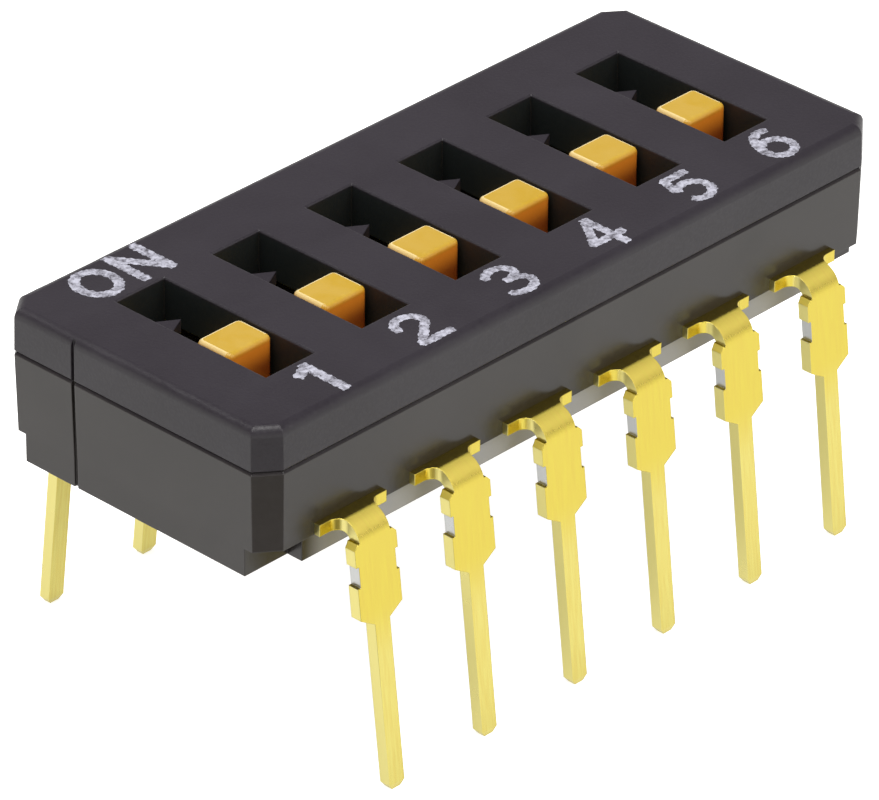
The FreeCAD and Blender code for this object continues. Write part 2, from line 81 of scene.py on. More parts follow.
class Shading:
    """Adds nodes to one shader tree and links them.

    A Mix node has sockets for each kind of data, and those for colours go by these numbers.
    """

    MIXED_COLOURS = (6, 7)
    MIX_RESULT = 2

    def __init__(self, tree: bpy.types.NodeTree) -> None:
        """Take the tree that the nodes go into.

        Args:
            tree: A material's, world's or group's node tree.
        """
        self.tree = tree

    def add(self, kind: str, inputs: dict[str | int, object] | None = None,
            **settings: object) -> bpy.types.Node:
        """Add a node, set its properties, and fill its inputs with values or links.

        Args:
            kind: The node's type, such as ShaderNodeMath.
            inputs: Socket names or numbers, each with a value or an output to link.
            settings: Properties of the node itself.

        Returns:
            The new node.
        """
        node = self.tree.nodes.new(kind)
        for name, value in settings.items():
            setattr(node, name, value)
        for name, value in (inputs or {}).items():
            self._feed(node.inputs[name], value)
        return node

    def _feed(self, socket: Socket, value: object) -> None:
        """Link an output to an input, or set the input's own value.

        Args:
            socket: The input.
            value: The output to link, or the value.
        """
        if isinstance(value, bpy.types.NodeSocket):
            self.tree.links.new(value, socket)
        else:
            socket.default_value = value

    def calculate(self, operation: str, *values: float | Socket) -> Socket:
        """Return the output of a Math node on the given values."""
        node = self.add("ShaderNodeMath", dict(enumerate(values)), operation=operation)
        return node.outputs[0]

    def fade(self, value: Socket, low: float, high: float) -> Socket:
        """Return 0 where a value is low, 1 where it is high, and a smooth step between.

        Args:
            value: What is measured.
            low: The value at and under which the result is 0.
            high: The value at and over which it is 1.

        Returns:
            The faded value.
        """
        inputs = {"Value": value, "From Min": low, "From Max": high}
        node = self.add("ShaderNodeMapRange", inputs, interpolation_type="SMOOTHSTEP")
        return node.outputs["Result"]

    def invert(self, value: Socket) -> Socket:
        """Return 1 less value."""
        return self.calculate("SUBTRACT", 1.0, value)

    def spread(self, value: Socket, low: float, high: float) -> Socket:
        """Return value, which runs from 0 to 1, stretched to run from low to high."""
        inputs = {"Value": value, "To Min": low, "To Max": high}
        return self.add("ShaderNodeMapRange", inputs).outputs["Result"]

    def split(self, vector: Socket) -> tuple[Socket, Socket, Socket]:
        """Return a vector's X, Y and Z."""
        parts = self.add("ShaderNodeSeparateXYZ", {"Vector": vector}).outputs
        return parts["X"], parts["Y"], parts["Z"]

    def facing(self) -> tuple[Socket, Socket, Socket]:
        """Return the X, Y and Z of the face's normal."""
        return self.split(self.add("ShaderNodeNewGeometry").outputs["Normal"])

    def blend(self, factor: Socket, first: Colour | Socket, second: Colour | Socket) -> Socket:
        """Mix two colours.

        Args:
            factor: How far the mix has gone from the first to the second, from 0 to 1.
            first: The colour at 0.
            second: The colour at 1.

        Returns:
            The mixed colour.
        """
        node = self.add("ShaderNodeMix", {"Factor": factor}, data_type="RGBA")
        for number, colour in zip(self.MIXED_COLOURS, (first, second)):
            linked = isinstance(colour, bpy.types.NodeSocket)
            self._feed(node.inputs[number], colour if linked else (*colour, 1.0))
        return node.outputs[self.MIX_RESULT]

    def group(self, tree: bpy.types.NodeTree, inputs: dict[str, object]) -> bpy.types.Node:
        """Return a new node that holds a group, with its own values and links."""
        return self.add("ShaderNodeGroup", inputs, node_tree=tree)


class SurfaceEffects:
    """The node groups that several finishes share, each built once.

    Each pair gives the values at which a mask starts and is full: the distance from a pit's
    middle in grain sizes, the drift's noise, and 1 less the cosine of the rounded normal's turn.
    The pits count for their share of the grain's height, beside a fine noise.
    """

    PIT_LIMITS = (0.1, 0.6)
    DRIFT_LIMITS = (0.3, 0.7)
    TURN_LIMITS = (0.02, 0.28)
    PIT_SHARE = 0.6

    def __init__(self) -> None:
        """Build the groups."""
        self.grain = self._grain()
        self.edges = self._edges()

    @staticmethod
    def _start(name: str, inputs: dict[str, str], outputs: dict[str, str]) -> Shading:
        """Start a group with named sockets.

        Args:
            name: The group's name.
            inputs: Input names, each with its socket type.
            outputs: Output names, each with its socket type.

        Returns:
            The shading helper for the group's tree.
        """
        tree = bpy.data.node_groups.new(name, "ShaderNodeTree")
        for socket, kind in inputs.items():
            tree.interface.new_socket(socket, in_out="INPUT", socket_type=kind)
        for socket, kind in outputs.items():
            tree.interface.new_socket(socket, in_out="OUTPUT", socket_type=kind)
        return Shading(tree)

    def _grain(self) -> bpy.types.NodeTree:
        """Build the moulded grain: fine spark-eroded pits, and a slow drift of the melt.

        Returns:
            The group's tree.
        """
        shading = self._start(
            "moulded_grain",
            {"Position": "NodeSocketVector", "Grain Size": "NodeSocketFloat",
             "Drift Size": "NodeSocketFloat"},
            {"Height": "NodeSocketFloat", "Pits": "NodeSocketFloat", "Drift": "NodeSocketFloat"},
        )
        start = shading.add("NodeGroupInput")
        end = shading.add("NodeGroupOutput")
        fine_scale = shading.calculate("DIVIDE", 1.0, start.outputs["Grain Size"])
        slow_scale = shading.calculate("DIVIDE", 1.0, start.outputs["Drift Size"])
        position = start.outputs["Position"]
        fine = shading.add(
            "ShaderNodeTexNoise",
            {"Vector": position, "Scale": fine_scale, "Detail": 3.0, "Roughness": 0.6},
        )
        pits = shading.add(
            "ShaderNodeTexVoronoi",
            {"Vector": position, "Scale": fine_scale, "Randomness": 1.0},
            feature="SMOOTH_F1",
        )
        slow = shading.add(
            "ShaderNodeTexNoise",
            {"Vector": position, "Scale": slow_scale, "Detail": 4.0, "Roughness": 0.55,
             "Distortion": 0.6},
        )
        height = shading.calculate(
            "MULTIPLY_ADD", pits.outputs["Distance"], self.PIT_SHARE, fine.outputs["Fac"],
        )
        links = shading.tree.links
        links.new(height, end.inputs["Height"])
        depth = shading.fade(pits.outputs["Distance"], *self.PIT_LIMITS)
        links.new(depth, end.inputs["Pits"])
        links.new(shading.fade(slow.outputs["Fac"], *self.DRIFT_LIMITS), end.inputs["Drift"])
        return shading.tree

    def _edges(self) -> bpy.types.NodeTree:
        """Build the broken edge: a rounded normal, and a mask that is 1 along sharp edges.

        Returns:
            The group's tree.
        """
        shading = self._start(
            "broken_edge",
            {"Radius": "NodeSocketFloat"},
            {"Normal": "NodeSocketVector", "Edge": "NodeSocketFloat"},
        )
        start = shading.add("NodeGroupInput")
        end = shading.add("NodeGroupOutput")
        bevel = shading.add("ShaderNodeBevel", {"Radius": start.outputs["Radius"]}, samples=6)
        geometry = shading.add("ShaderNodeNewGeometry")
        cosine = shading.add(
            "ShaderNodeVectorMath",
            {0: bevel.outputs["Normal"], 1: geometry.outputs["Normal"]},
            operation="DOT_PRODUCT",
        )
        turn = shading.invert(cosine.outputs["Value"])
        links = shading.tree.links
        links.new(bevel.outputs["Normal"], end.inputs["Normal"])
        links.new(shading.fade(turn, *self.TURN_LIMITS), end.inputs["Edge"])
        return shading.tree


def new_material(name: str) -> tuple[bpy.types.Material, Shading, bpy.types.Node, Socket]:
    """Start a material with one Principled shader.

    Args:
        name: The material's name.

    Returns:
        The material, its shading helper, its Principled node and the object position.
    """
    material = bpy.data.materials.new(name)
    material.use_nodes = True
    material.node_tree.nodes.clear()
    shading = Shading(material.node_tree)
    surface = shading.add("ShaderNodeBsdfPrincipled")
    shading.add("ShaderNodeOutputMaterial", {"Surface": surface.outputs["BSDF"]})
    position = shading.add("ShaderNodeTexCoord").outputs["Object"]
    return material, shading, surface, position


@dataclass(frozen=True)
class PaintedLight:
    """Painted light and shade: another colour put on a plastic's upright faces below a level.

    It fades in from the high level down to the low one, and out towards the row's ends. Faces
    whose normal rises or falls more than the steepest value don't take it. It can be kept to
    the slots' straight walls, where the product of the normal's X and Y stays under the skew,
    or to faces that lie far enough out along Y.
    """

    colour: Colour
    high: float
    low: float
    slot_half_width: float | None = None
    slot_half_length: float = 2.05
    slot_skew: float = 0.2
    row_reach: float = 7.4
    end_fade: float = 0.4
    outside_y: float | None = None
    steepest: float = 0.7

    def mask(self, shading: Shading, position: Socket) -> Socket:
        """Work out where the painted light or shade applies.

        Args:
            shading: The material's shading helper.
            position: The object position.

        Returns:
            A mask from 0 to 1.
        """
        x, y, z = shading.split(position)
        facing_x, facing_y, facing_z = shading.facing()
        from_middle = shading.calculate("ABSOLUTE", x)
        outwards = shading.calculate("ABSOLUTE", y)
        lowered = shading.invert(shading.fade(z, self.low * MM, self.high * MM))
        reach = self.row_reach * MM
        past = shading.fade(from_middle, reach - self.end_fade * MM, reach)
        mask = shading.calculate("MULTIPLY", lowered, shading.invert(past))
        limits = [(shading.calculate("ABSOLUTE", facing_z), self.steepest)]
        if self.slot_half_width is not None:
            half_pitch = PITCH / 2 * MM
            shifted = shading.calculate("SUBTRACT", x, half_pitch)
            aside = shading.calculate("PINGPONG", shifted, half_pitch)
            product = shading.calculate("MULTIPLY", facing_x, facing_y)
            skew = shading.calculate("ABSOLUTE", product)
            limits += [
                (aside, self.slot_half_width * MM), (outwards, self.slot_half_length * MM),
                (skew, self.slot_skew),
            ]
        if self.outside_y is not None:
            inwards = shading.calculate("MULTIPLY", outwards, -1.0)
            limits.append((inwards, -self.outside_y * MM))
        for value, limit in limits:
            within = shading.calculate("LESS_THAN", value, limit)
            mask = shading.calculate("MULTIPLY", mask, within)
        return mask


@dataclass(frozen=True)
class MouldedPlastic:
    """A coloured plastic straight from its mould.

    A rounded top edge may take a share of the pale worn colour as a painted highlight. Each
    rim pair gives the values of the normal between which a mask fades: its Z where the rounding
    starts and where it ends in the level top, its Y where the edge turns away from -Y, and its X
    where it turns away from -X. Edges that face -X take only the near part of that share.
    """

    RIM_START = (0.2, 0.5)
    RIM_END = (0.965, 0.998)
    RIM_Y_TURN = (-0.12, -0.03)
    RIM_X_TURN = (-0.6, 0.0)
    NEAR_PART = 0.45

    name: str
    colour: Colour
    worn_and_highlight_colour: Colour
    roughness: float
    roughness_spread: float
    grain_size: float
    grain_depth: float
    edge_radius: float
    gloss: float
    drift_size: float = 2.6
    drift_share: float = 0.25
    painted_lights: tuple[PaintedLight, ...] = ()
    rim_highlight_share: float = 0.0

    def material(self, effects: SurfaceEffects) -> bpy.types.Material:
        """Build the plastic: pitted grain, slow changes of tone, and paler broken edges.

        Args:
            effects: The shared node groups.

        Returns:
            The finished material.
        """
        material, shading, surface, position = new_material(self.name)
        grain = shading.group(effects.grain, {
            "Position": position,
            "Grain Size": self.grain_size * MM,
            "Drift Size": self.drift_size * MM,
        })
        edges = shading.group(effects.edges, {"Radius": self.edge_radius * MM})
        drift = shading.spread(grain.outputs["Drift"], 0.0, self.drift_share)
        toned = shading.blend(drift, self.colour, self.worn_and_highlight_colour)
        # Painted light and shade on the upright faces, one colour after another.
        for painted_light in self.painted_lights:
            toned = shading.blend(painted_light.mask(shading, position), toned, painted_light.colour)
        # Painted highlight: the rounded top edges are painted in the pale colour.
        if self.rim_highlight_share:
            toned = shading.blend(self._rim_highlight(shading), toned, self.worn_and_highlight_colour)
        worn = shading.calculate("MULTIPLY", edges.outputs["Edge"], grain.outputs["Drift"])
        colour = shading.blend(worn, toned, self.worn_and_highlight_colour)
        roughness = shading.spread(
            grain.outputs["Pits"],
            self.roughness - self.roughness_spread,
            self.roughness + self.roughness_spread,
        )
        bump = shading.add("ShaderNodeBump", {
            "Strength": 1.0,
            "Distance": self.grain_depth * MM,
            "Height": grain.outputs["Height"],
            "Normal": edges.outputs["Normal"],
        })
        links = shading.tree.links
        links.new(colour, surface.inputs["Base Color"])
        links.new(roughness, surface.inputs["Roughness"])
        links.new(bump.outputs["Normal"], surface.inputs["Normal"])
        surface.inputs["Specular IOR Level"].default_value = self.gloss
        return material

    def _rim_highlight(self, shading: Shading) -> Socket:
        """Find the rounded top edges that aren't turned towards -Y, which get a painted highlight.

        Args:
            shading: The material's shading helper.

        Returns:
            A mask of the painted highlight, from 0 to its share.
        """
        facing_x, facing_y, facing_z = shading.facing()
        lifted = shading.fade(facing_z, *self.RIM_START)
        level = shading.fade(facing_z, *self.RIM_END)
        sloping = shading.calculate("MULTIPLY", lifted, shading.invert(level))
        rim = shading.calculate("MULTIPLY", sloping, shading.fade(facing_y, *self.RIM_Y_TURN))
        turned = shading.fade(facing_x, *self.RIM_X_TURN)
        share = shading.spread(turned, self.rim_highlight_share * self.NEAR_PART, self.rim_highlight_share)
        return shading.calculate("MULTIPLY", rim, share)


@dataclass(frozen=True)
class GoldSheet:
    """Copper alloy strip plated with gold, blanked in a press and bent.

    The limits are the values at which a mask starts and is full: the streaks' noise, the
    normal's X on sheared sides, and its Z on bends and on level faces. Plating is thin in the
    streaks, up to the thin share, and they make the roughness vary over the wear range. The
    colour goes over into the low one from the low start down to the low end.
    """

    STREAK_LIMITS = (0.25, 0.75)
    SIDE_LIMITS = (0.7, 0.9)
    BEND_LIMITS = (0.35, 0.85)
    LEVEL_LIMITS = (0.975, 0.9995)
    THIN_SHARE = 0.45
    WEAR_RANGE = (0.8, 1.3)

    plating: Plating
    colour: Colour
    thin_colour: Colour
    sheared_colour: Colour
    bare_colour: Colour
    low_colour: Colour
    roughness: float
    sheared_roughness: float
    matt_roughness: float
    matt_share: float
    streak_width: float
    streak_length: float
    streak_depth: float
    edge_radius: float
    notch_start: float = 0.46
    notch_low: float = -0.43
    notch_high: float = 0.0
    notch_blur: float = 0.01
    low_start: float = -0.9
    low_end: float = -2.2

    def material(self, effects: SurfaceEffects) -> bpy.types.Material:
        """Build the sheet: rolled streaks, sheared sides, and bare metal where bars were cut.

        Args:
            effects: The shared node groups.

        Returns:
            The finished material.
        """
        material, shading, surface, position = new_material(self.plating.value)
        edges = shading.group(effects.edges, {"Radius": self.edge_radius * MM})
        streaks = self._streaks(shading, position)
        sheared, bare, matt = self._zones(shading, position)
        thin = shading.spread(streaks, 0.0, self.THIN_SHARE)
        height = shading.split(position)[2]
        raised = shading.fade(height, self.low_end * MM, self.low_start * MM)
        along = shading.blend(raised, self.low_colour, self.colour)
        plated = shading.blend(thin, along, self.thin_colour)
        sides = shading.blend(sheared, plated, self.sheared_colour)
        colour = shading.blend(bare, sides, self.bare_colour)
        smoothest, roughest = self.WEAR_RANGE
        wear = shading.spread(streaks, self.roughness * smoothest, self.roughness * roughest)
        rough_sides = shading.spread(sheared, 0.0, self.sheared_roughness - self.roughness)
        rough_bends = shading.spread(matt, 0.0, self.matt_roughness - self.roughness)
        added = shading.calculate("ADD", rough_sides, rough_bends)
        roughness = shading.calculate("ADD", wear, added)
        bump = shading.add("ShaderNodeBump", {
            "Strength": 1.0,
            "Distance": self.streak_depth * MM,
            "Height": streaks,
            "Normal": edges.outputs["Normal"],
        })
        links = shading.tree.links
        links.new(colour, surface.inputs["Base Color"])
        links.new(roughness, surface.inputs["Roughness"])
        links.new(shading.spread(matt, 1.0, 1 - self.matt_share), surface.inputs["Metallic"])
        links.new(bump.outputs["Normal"], surface.inputs["Normal"])
        return material

    def _streaks(self, shading: Shading, position: Socket) -> Socket:
        """Draw a noise out along the strip.

        Args:
            shading: The material's shading helper.
            position: The object position.

        Returns:
            A value from 0 to 1.
        """
        across = 1 / (self.streak_width * MM)
        along = 1 / (self.streak_length * MM)
        stretched = shading.add(
            "ShaderNodeMapping", {"Vector": position, "Scale": (across, along, along)},
        )
        noise = shading.add(
            "ShaderNodeTexNoise",
            {"Vector": stretched.outputs["Vector"], "Scale": 1.0, "Detail": 4.0,
             "Roughness": 0.6},
        )
        return shading.fade(noise.outputs["Fac"], *self.STREAK_LIMITS)

    def _zones(self, shading: Shading, position: Socket) -> tuple[Socket, Socket, Socket]:
        """Tell the parts of the sheet's surface apart.

        Args:
            shading: The material's shading helper.
            position: The object position.

        Returns:
            Masks of the sheared sides, the bare notch floors and the matt bends.
        """
        x, _, z = shading.split(position)
        facing_x, _, facing_z = shading.facing()
        half_pitch = PITCH / 2 * MM
        shifted = shading.calculate("SUBTRACT", x, half_pitch)
        off_centre = shading.calculate("PINGPONG", shifted, half_pitch)
        sheared = shading.fade(shading.calculate("ABSOLUTE", facing_x), *self.SIDE_LIMITS)
        beyond, over, under = (
            shading.fade(value, start * MM, (start + self.notch_blur) * MM)
            for value, start in (
                (off_centre, self.notch_start), (z, self.notch_low), (z, self.notch_high),
            )
        )
        within = shading.calculate("MULTIPLY", over, shading.invert(under))
        bare = shading.calculate("MULTIPLY", beyond, within)
        turning_up = shading.fade(facing_z, *self.BEND_LIMITS)
        level = shading.fade(facing_z, *self.LEVEL_LIMITS)
        matt = shading.calculate("MULTIPLY", turning_up, shading.invert(level))
        return sheared, shading.calculate("MULTIPLY", bare, sheared), matt


@dataclass(frozen=True)
class PrintedInk:
    """Pad-printed ink, uneven in its cover.

    It is thin in patches that span a few mottles, and more so where the speckle is strong.
    """

    SPECKLE_RANGE = (0.5, 1.0)
    PATCH_SPAN = 3

    name: str = "white_ink"
    colour: Colour = (0.465, 0.465, 0.545)
    thin_colour: Colour = (0.07, 0.065, 0.08)
    roughness: float = 0.6
    mottle_size: float = 0.045
    mottle_depth: float = 0.002

    def material(self, effects: SurfaceEffects) -> bpy.types.Material:
        """Build the ink: speckled where it lies thin over the plastic's grain.

        Args:
            effects: The shared node groups.

        Returns:
            The finished material.
        """
        material, shading, surface, position = new_material(self.name)
        grain = shading.group(effects.grain, {
            "Position": position,
            "Grain Size": self.mottle_size * MM,
            "Drift Size": self.mottle_size * self.PATCH_SPAN * MM,
        })
        speckle = shading.spread(grain.outputs["Pits"], *self.SPECKLE_RANGE)
        thinned = shading.calculate("MULTIPLY", speckle, grain.outputs["Drift"])
        colour = shading.blend(thinned, self.colour, self.thin_colour)
        bump = shading.add("ShaderNodeBump", {
            "Strength": 1.0,
            "Distance": self.mottle_depth * MM,
            "Height": grain.outputs["Height"],
        })
        shading.tree.links.new(colour, surface.inputs["Base Color"])
        shading.tree.links.new(bump.outputs["Normal"], surface.inputs["Normal"])
        surface.inputs["Roughness"].default_value = self.roughness
        return material


@dataclass(frozen=True)
class Run:
    """A straight pen stroke from point to point."""

    points: tuple[Point, ...]

    def centre_line(self) -> np.ndarray:
        """Return the points as an array of x, y rows."""
        return np.array(self.points, float)


@dataclass(frozen=True)
class Bow:
    """A pen stroke round part of an ellipse, with its angles in degrees."""

    centre: Point
    radii: Point
    start: float
    end: float
    steps: int = 28

    def centre_line(self) -> np.ndarray:
        """Follow the ellipse: its centre plus its radii times (cos a, sin a).

        Returns:
            Points from the start angle to the end angle, as rows of x and y.
        """
        angle = np.radians(np.linspace(self.start, self.end, self.steps + 1))
        circle = np.stack([np.cos(angle), np.sin(angle)], axis=1)
        return np.array(self.centre) + circle * np.array(self.radii)


@dataclass(frozen=True)
class Glyph:
    """A printed figure or letter, drawn with strokes of one width about its own centre.

    The waves that make its edges ragged each turn by so many radians a millimetre along X and
    Y. A squared end has corners rounded by a part of the stroke's width.
    """

    WAVES = ((31.0, 13.0), (-17.0, 37.0))
    NIB_CORNER = 0.15

    name: str
    centre: Point
    strokes: tuple[Run | Bow, ...]
    width: float = 0.2
    ragged: float = 0.018

    def distance(self, points: np.ndarray) -> np.ndarray:
        """Return how far each point lies outside the ink's outline, negative inside it.

        A stroke's outline is everything within half a width of its centre line. Past either
        end, the distance is that to a nib with corners of a small radius, which squares the end.
        The product of two crossed sine waves over the cover is added, so that edges wander.

        Args:
            points: Rows of x and y in the glyph's own frame.

        Returns:
            One distance for each point.
        """
        nearest = np.min([self._stroke_distance(points, s) for s in self.strokes], axis=0)
        place = points + np.array(self.centre)
        first, second = (np.sin(place @ wave) for wave in self.WAVES)
        return nearest + self.ragged * (first * second)

    def _stroke_distance(self, points: np.ndarray, stroke: Run | Bow) -> np.ndarray:
        """Measure to the outline of one stroke.

        Args:
            points: Rows of x and y in the glyph's own frame.
            stroke: The stroke.

        Returns:
            One distance for each point, negative inside.
        """
        line = stroke.centre_line()
        start = line[:-1]
        step = np.diff(line, axis=0)
        length = np.linalg.norm(step, axis=1)
        along_unit = step / length[:, None]
        offset = points[:, None, :] - start[None]
        along = np.einsum("psk,sk->ps", offset, along_unit)
        across = offset[..., 1] * along_unit[:, 0] - offset[..., 0] * along_unit[:, 1]
        half_width = self.width / 2
        past = np.maximum(np.maximum(-along, along - length), 0.0)
        round_distance = np.hypot(past, across) - half_width
        corner = self.width * self.NIB_CORNER
        nib = np.hypot(past, np.maximum(np.abs(across) - half_width + corner, 0.0)) - corner
        is_first = (np.arange(len(length)) == 0)[None] & (along < 0)
        is_last = (np.arange(len(length)) == len(length) - 1)[None] & (along > length)
        closed = np.allclose(line[0], line[-1])
        squared = (is_first | is_last) & (not closed)
        return np.where(squared, nib, round_distance).min(axis=1)


@dataclass
class Legends:
    """The printed figures beside the slots and the word ON at the other side.

    The film is the ink's thickness, which it reaches over the width of its rim. A glyph is
    worked out on square cells over its box and a margin, and its slope on a part of a cell.
    """

    PROBE_PART = 0.1
    LEAST_SLOPE = 1e-9

    figure_row: float = -2.76
    word_row: float = 2.75
    word_columns: Point = (-6.77, -5.64)
    film: float = 0.005
    rim: float = 0.02
    cell: float = 0.016
    margin: float = 0.06

    def glyphs(self) -> list[Glyph]:
        """Draw the figures 1 to 6 and the word ON.

        Returns:
            Every glyph, placed in the part's frame.
        """
        first = -(POSITIONS - 1) * PITCH / 2
        slot = [first + i * PITCH for i in range(POSITIONS)]
        row = self.figure_row
        return [
            Glyph("figure_1", (slot[0], row), (
                Run(((0.14, 0.59), (0.14, -0.59))),
                Run(((0.16, 0.50), (-0.22, 0.31))),
            ), width=0.23),
            Glyph("figure_2", (slot[1], row), (
                Bow((0.08, 0.20), (0.32, 0.28), 186, -28),
                Run(((0.36, 0.07), (-0.20, -0.42), (-0.22, -0.48), (0.53, -0.48))),
            )),
            Glyph("figure_3", (slot[2], row), (
                Bow((0.06, 0.26), (0.32, 0.24), 158, -62),
                Run(((0.20, 0.04), (0.00, 0.03))),
                Bow((0.06, -0.22), (0.36, 0.27), 68, -150),
            )),
            Glyph("figure_4", (slot[3], row), (
                Run(((0.20, 0.59), (0.20, -0.59))),
                Run(((0.17, 0.50), (-0.35, -0.22), (0.47, -0.22))),
            )),
            Glyph("figure_5", (slot[4], row), (
                Run(((0.46, 0.49), (-0.15, 0.49), (-0.25, 0.06))),
                Bow((0.05, -0.15), (0.35, 0.33), 146, -142),
            )),
            Glyph("figure_6", (slot[5], row), (
                Bow((-0.08, -0.16), (0.33, 0.33), 180, -180),
                Bow((0.10, -0.16), (0.51, 0.66), 180, 76),
            )),
            Glyph("letter_o", (self.word_columns[0], self.word_row), (
                Bow((0.0, 0.0), (0.395, 0.465), 180, -180, steps=56),
            ), width=0.22),
            Glyph("letter_n", (self.word_columns[1], self.word_row), (
                Run(((-0.35, -0.575), (-0.35, 0.575))),
                Run(((0.35, -0.575), (0.35, 0.575))),
                Run(((-0.34, 0.50), (0.34, -0.50))),
            ), width=0.22),
        ]

    def ink_surface(self, glyph: Glyph, top: float) -> tuple[np.ndarray, np.ndarray]:
        """Work out one glyph's ink as a height over a grid.

        The surface is a function of x and y on square cells over the glyph's box. Its height
        is the cover's top plus the film times a smooth step of the depth inside the outline
        over the rim. Cells that touch the ink are kept, and their corners that lie outside it
        are moved onto the outline, down the slope of the distance.

        Args:
            glyph: The figure or letter.
            top: Height of the cover's top face.

        Returns:
            Points as rows of x, y, z and quads as rows of four point numbers.
        """
        lines = np.concatenate([stroke.centre_line() for stroke in glyph.strokes])
        reach = glyph.width / 2 + self.margin
        low, high = lines.min(axis=0) - reach, lines.max(axis=0) + reach
        columns, rows = (np.ceil((high - low) / self.cell).astype(int) + 1).tolist()
        u, v = np.meshgrid(np.arange(columns), np.arange(rows), indexing="ij")
        flat = np.stack([u.ravel(), v.ravel()], axis=1) * self.cell + low
        depth = glyph.distance(flat)
        slope = np.stack([
            glyph.distance(flat + nudge) - glyph.distance(flat - nudge)
            for nudge in np.eye(2) * (self.cell * self.PROBE_PART)
        ], axis=1)
        slope /= np.maximum(np.linalg.norm(slope, axis=1, keepdims=True), self.LEAST_SLOPE)
        outside = depth > 0
        placed = np.where(outside[:, None], flat - slope * depth[:, None], flat)
        step = np.clip(-depth / self.rim, 0.0, 1.0)
        height = top + self.film * step * step * (3 - 2 * step)
        points = np.column_stack([placed + np.array(glyph.centre), height])
        corner = (u[:-1, :-1] * rows + v[:-1, :-1]).ravel()
        quads = np.stack([corner, corner + rows, corner + rows + 1, corner + 1], axis=1)
        kept = quads[(~outside)[quads].any(axis=1)]
        return points, kept

    def build(self, effects: SurfaceEffects) -> list[bpy.types.Object]:
        """Print every glyph on the cover.

        Args:
            effects: The shared node groups.

        Returns:
            One object for each glyph.
        """
        ink = PrintedInk().material(effects)
        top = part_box("cover")[1].z / MM
        pieces = []
        for glyph in self.glyphs():
            points, quads = self.ink_surface(glyph, top)
            used, renumbered = np.unique(quads, return_inverse=True)
            piece = new_piece(glyph.name, points[used], renumbered.reshape(-1, 4))
            piece.data.materials.append(ink)
            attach(piece, "housing")
            pieces.append(piece)
        return pieces


def new_piece(name: str, points: np.ndarray, quads: np.ndarray) -> bpy.types.Object:
    """Make an object at the origin from points in millimetres.

    Args:
        name: The object's name.
        points: Rows of x, y, z in millimetres, in the part's frame.
        quads: Rows of four point numbers, anticlockwise seen from outside.

    Returns:
        The new object, linked to the scene and shaded smooth.
    """
    mesh = bpy.data.meshes.new(name)
    mesh.from_pydata((points * MM).tolist(), [], quads.tolist())
    mesh.validate()
    mesh.polygons.foreach_set("use_smooth", np.ones(len(mesh.polygons), bool))
    mesh.update()
    piece = bpy.data.objects.new(name, mesh)
    bpy.context.scene.collection.objects.link(piece)
    return piece


def dress(nodes: dict[str, bpy.types.Object], names: list[str],
          material: bpy.types.Material) -> None:
    """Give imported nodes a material, in their own material slots.

    Args:
        nodes: The frame's nodes by name.
        names: The nodes to dress.
        material: The finish that they get.
    """
    for name in names:
        for material_slot in nodes[name].material_slots:
            material_slot.material = material


@dataclass
class Housing:
    """The moulded cover and base."""

    cover_finish: MouldedPlastic = MouldedPlastic(
        name="cover_black",
        colour=(0.0145, 0.0114, 0.0150),
        worn_and_highlight_colour=(0.036, 0.032, 0.039),
        roughness=0.40,
        roughness_spread=0.05,
        grain_size=0.06,
        grain_depth=0.0022,
        edge_radius=0.035,
        gloss=0.54,
        painted_lights=(
            # Painted shade: the slot walls are painted olive-black below the top edge, for the
            # shade down in the slots.
            PaintedLight((0.0110, 0.0138, 0.0135), high=3.26, low=3.16, slot_half_width=0.66),
        ),
    )
    base_finish: MouldedPlastic = MouldedPlastic(
        name="base_black",
        colour=(0.020, 0.017, 0.015),
        worn_and_highlight_colour=(0.048, 0.042, 0.038),
        roughness=0.24,
        roughness_spread=0.03,
        grain_size=0.09,
        grain_depth=0.0012,
        edge_radius=0.03,
        gloss=0.56,
        painted_lights=(
            # Painted reflection: the strip along the base's lower edge, between the feet, is
            # painted pale grey for the floor it reflects.
            PaintedLight((0.338, 0.341, 0.351), high=0.59, low=0.55, end_fade=0.8, outside_y=3.2),
        ),
    )

    def build(self, nodes: dict[str, bpy.types.Object], effects: SurfaceEffects) -> None:
        """Dress both shells.

        Args:
            nodes: The frame's nodes by name.
            effects: The shared node groups.
        """
        dress(nodes, ["cover"], self.cover_finish.material(effects))
        dress(nodes, ["base"], self.base_finish.material(effects))


@dataclass
class Sliders:
    """The six orange sliders."""

    finish: MouldedPlastic = MouldedPlastic(
        name="slider_orange",
        colour=(0.47, 0.285, 0.009),
        worn_and_highlight_colour=(0.84, 0.70, 0.38),
        roughness=0.33,
        roughness_spread=0.05,
        grain_size=0.05,
        grain_depth=0.0015,
        edge_radius=0.06,
        gloss=0.5,
        drift_size=0.9,
        drift_share=0.08,
        painted_lights=(
            # Painted light and shade: the upright faces are painted a deeper orange just under the
            # top, for light glowing through the plastic, then dark red lower down, for the shade
            # in the slots.
            PaintedLight((0.76, 0.235, 0.018), high=3.27, low=3.10, steepest=0.93),
            PaintedLight((0.26, 0.055, 0.008), high=3.12, low=2.60),
        ),
        # Painted highlight: the rounded top edges, except towards -Y, are painted pale.
        rim_highlight_share=0.9,
    )

    def build(self, nodes: dict[str, bpy.types.Object], effects: SurfaceEffects) -> None:
        """Dress every slider.

        Args:
            nodes: The frame's nodes by name.
            effects: The shared node groups.
        """
        names = [f"slider_{i + 1}" for i in range(POSITIONS)]
        dress(nodes, names, self.finish.material(effects))


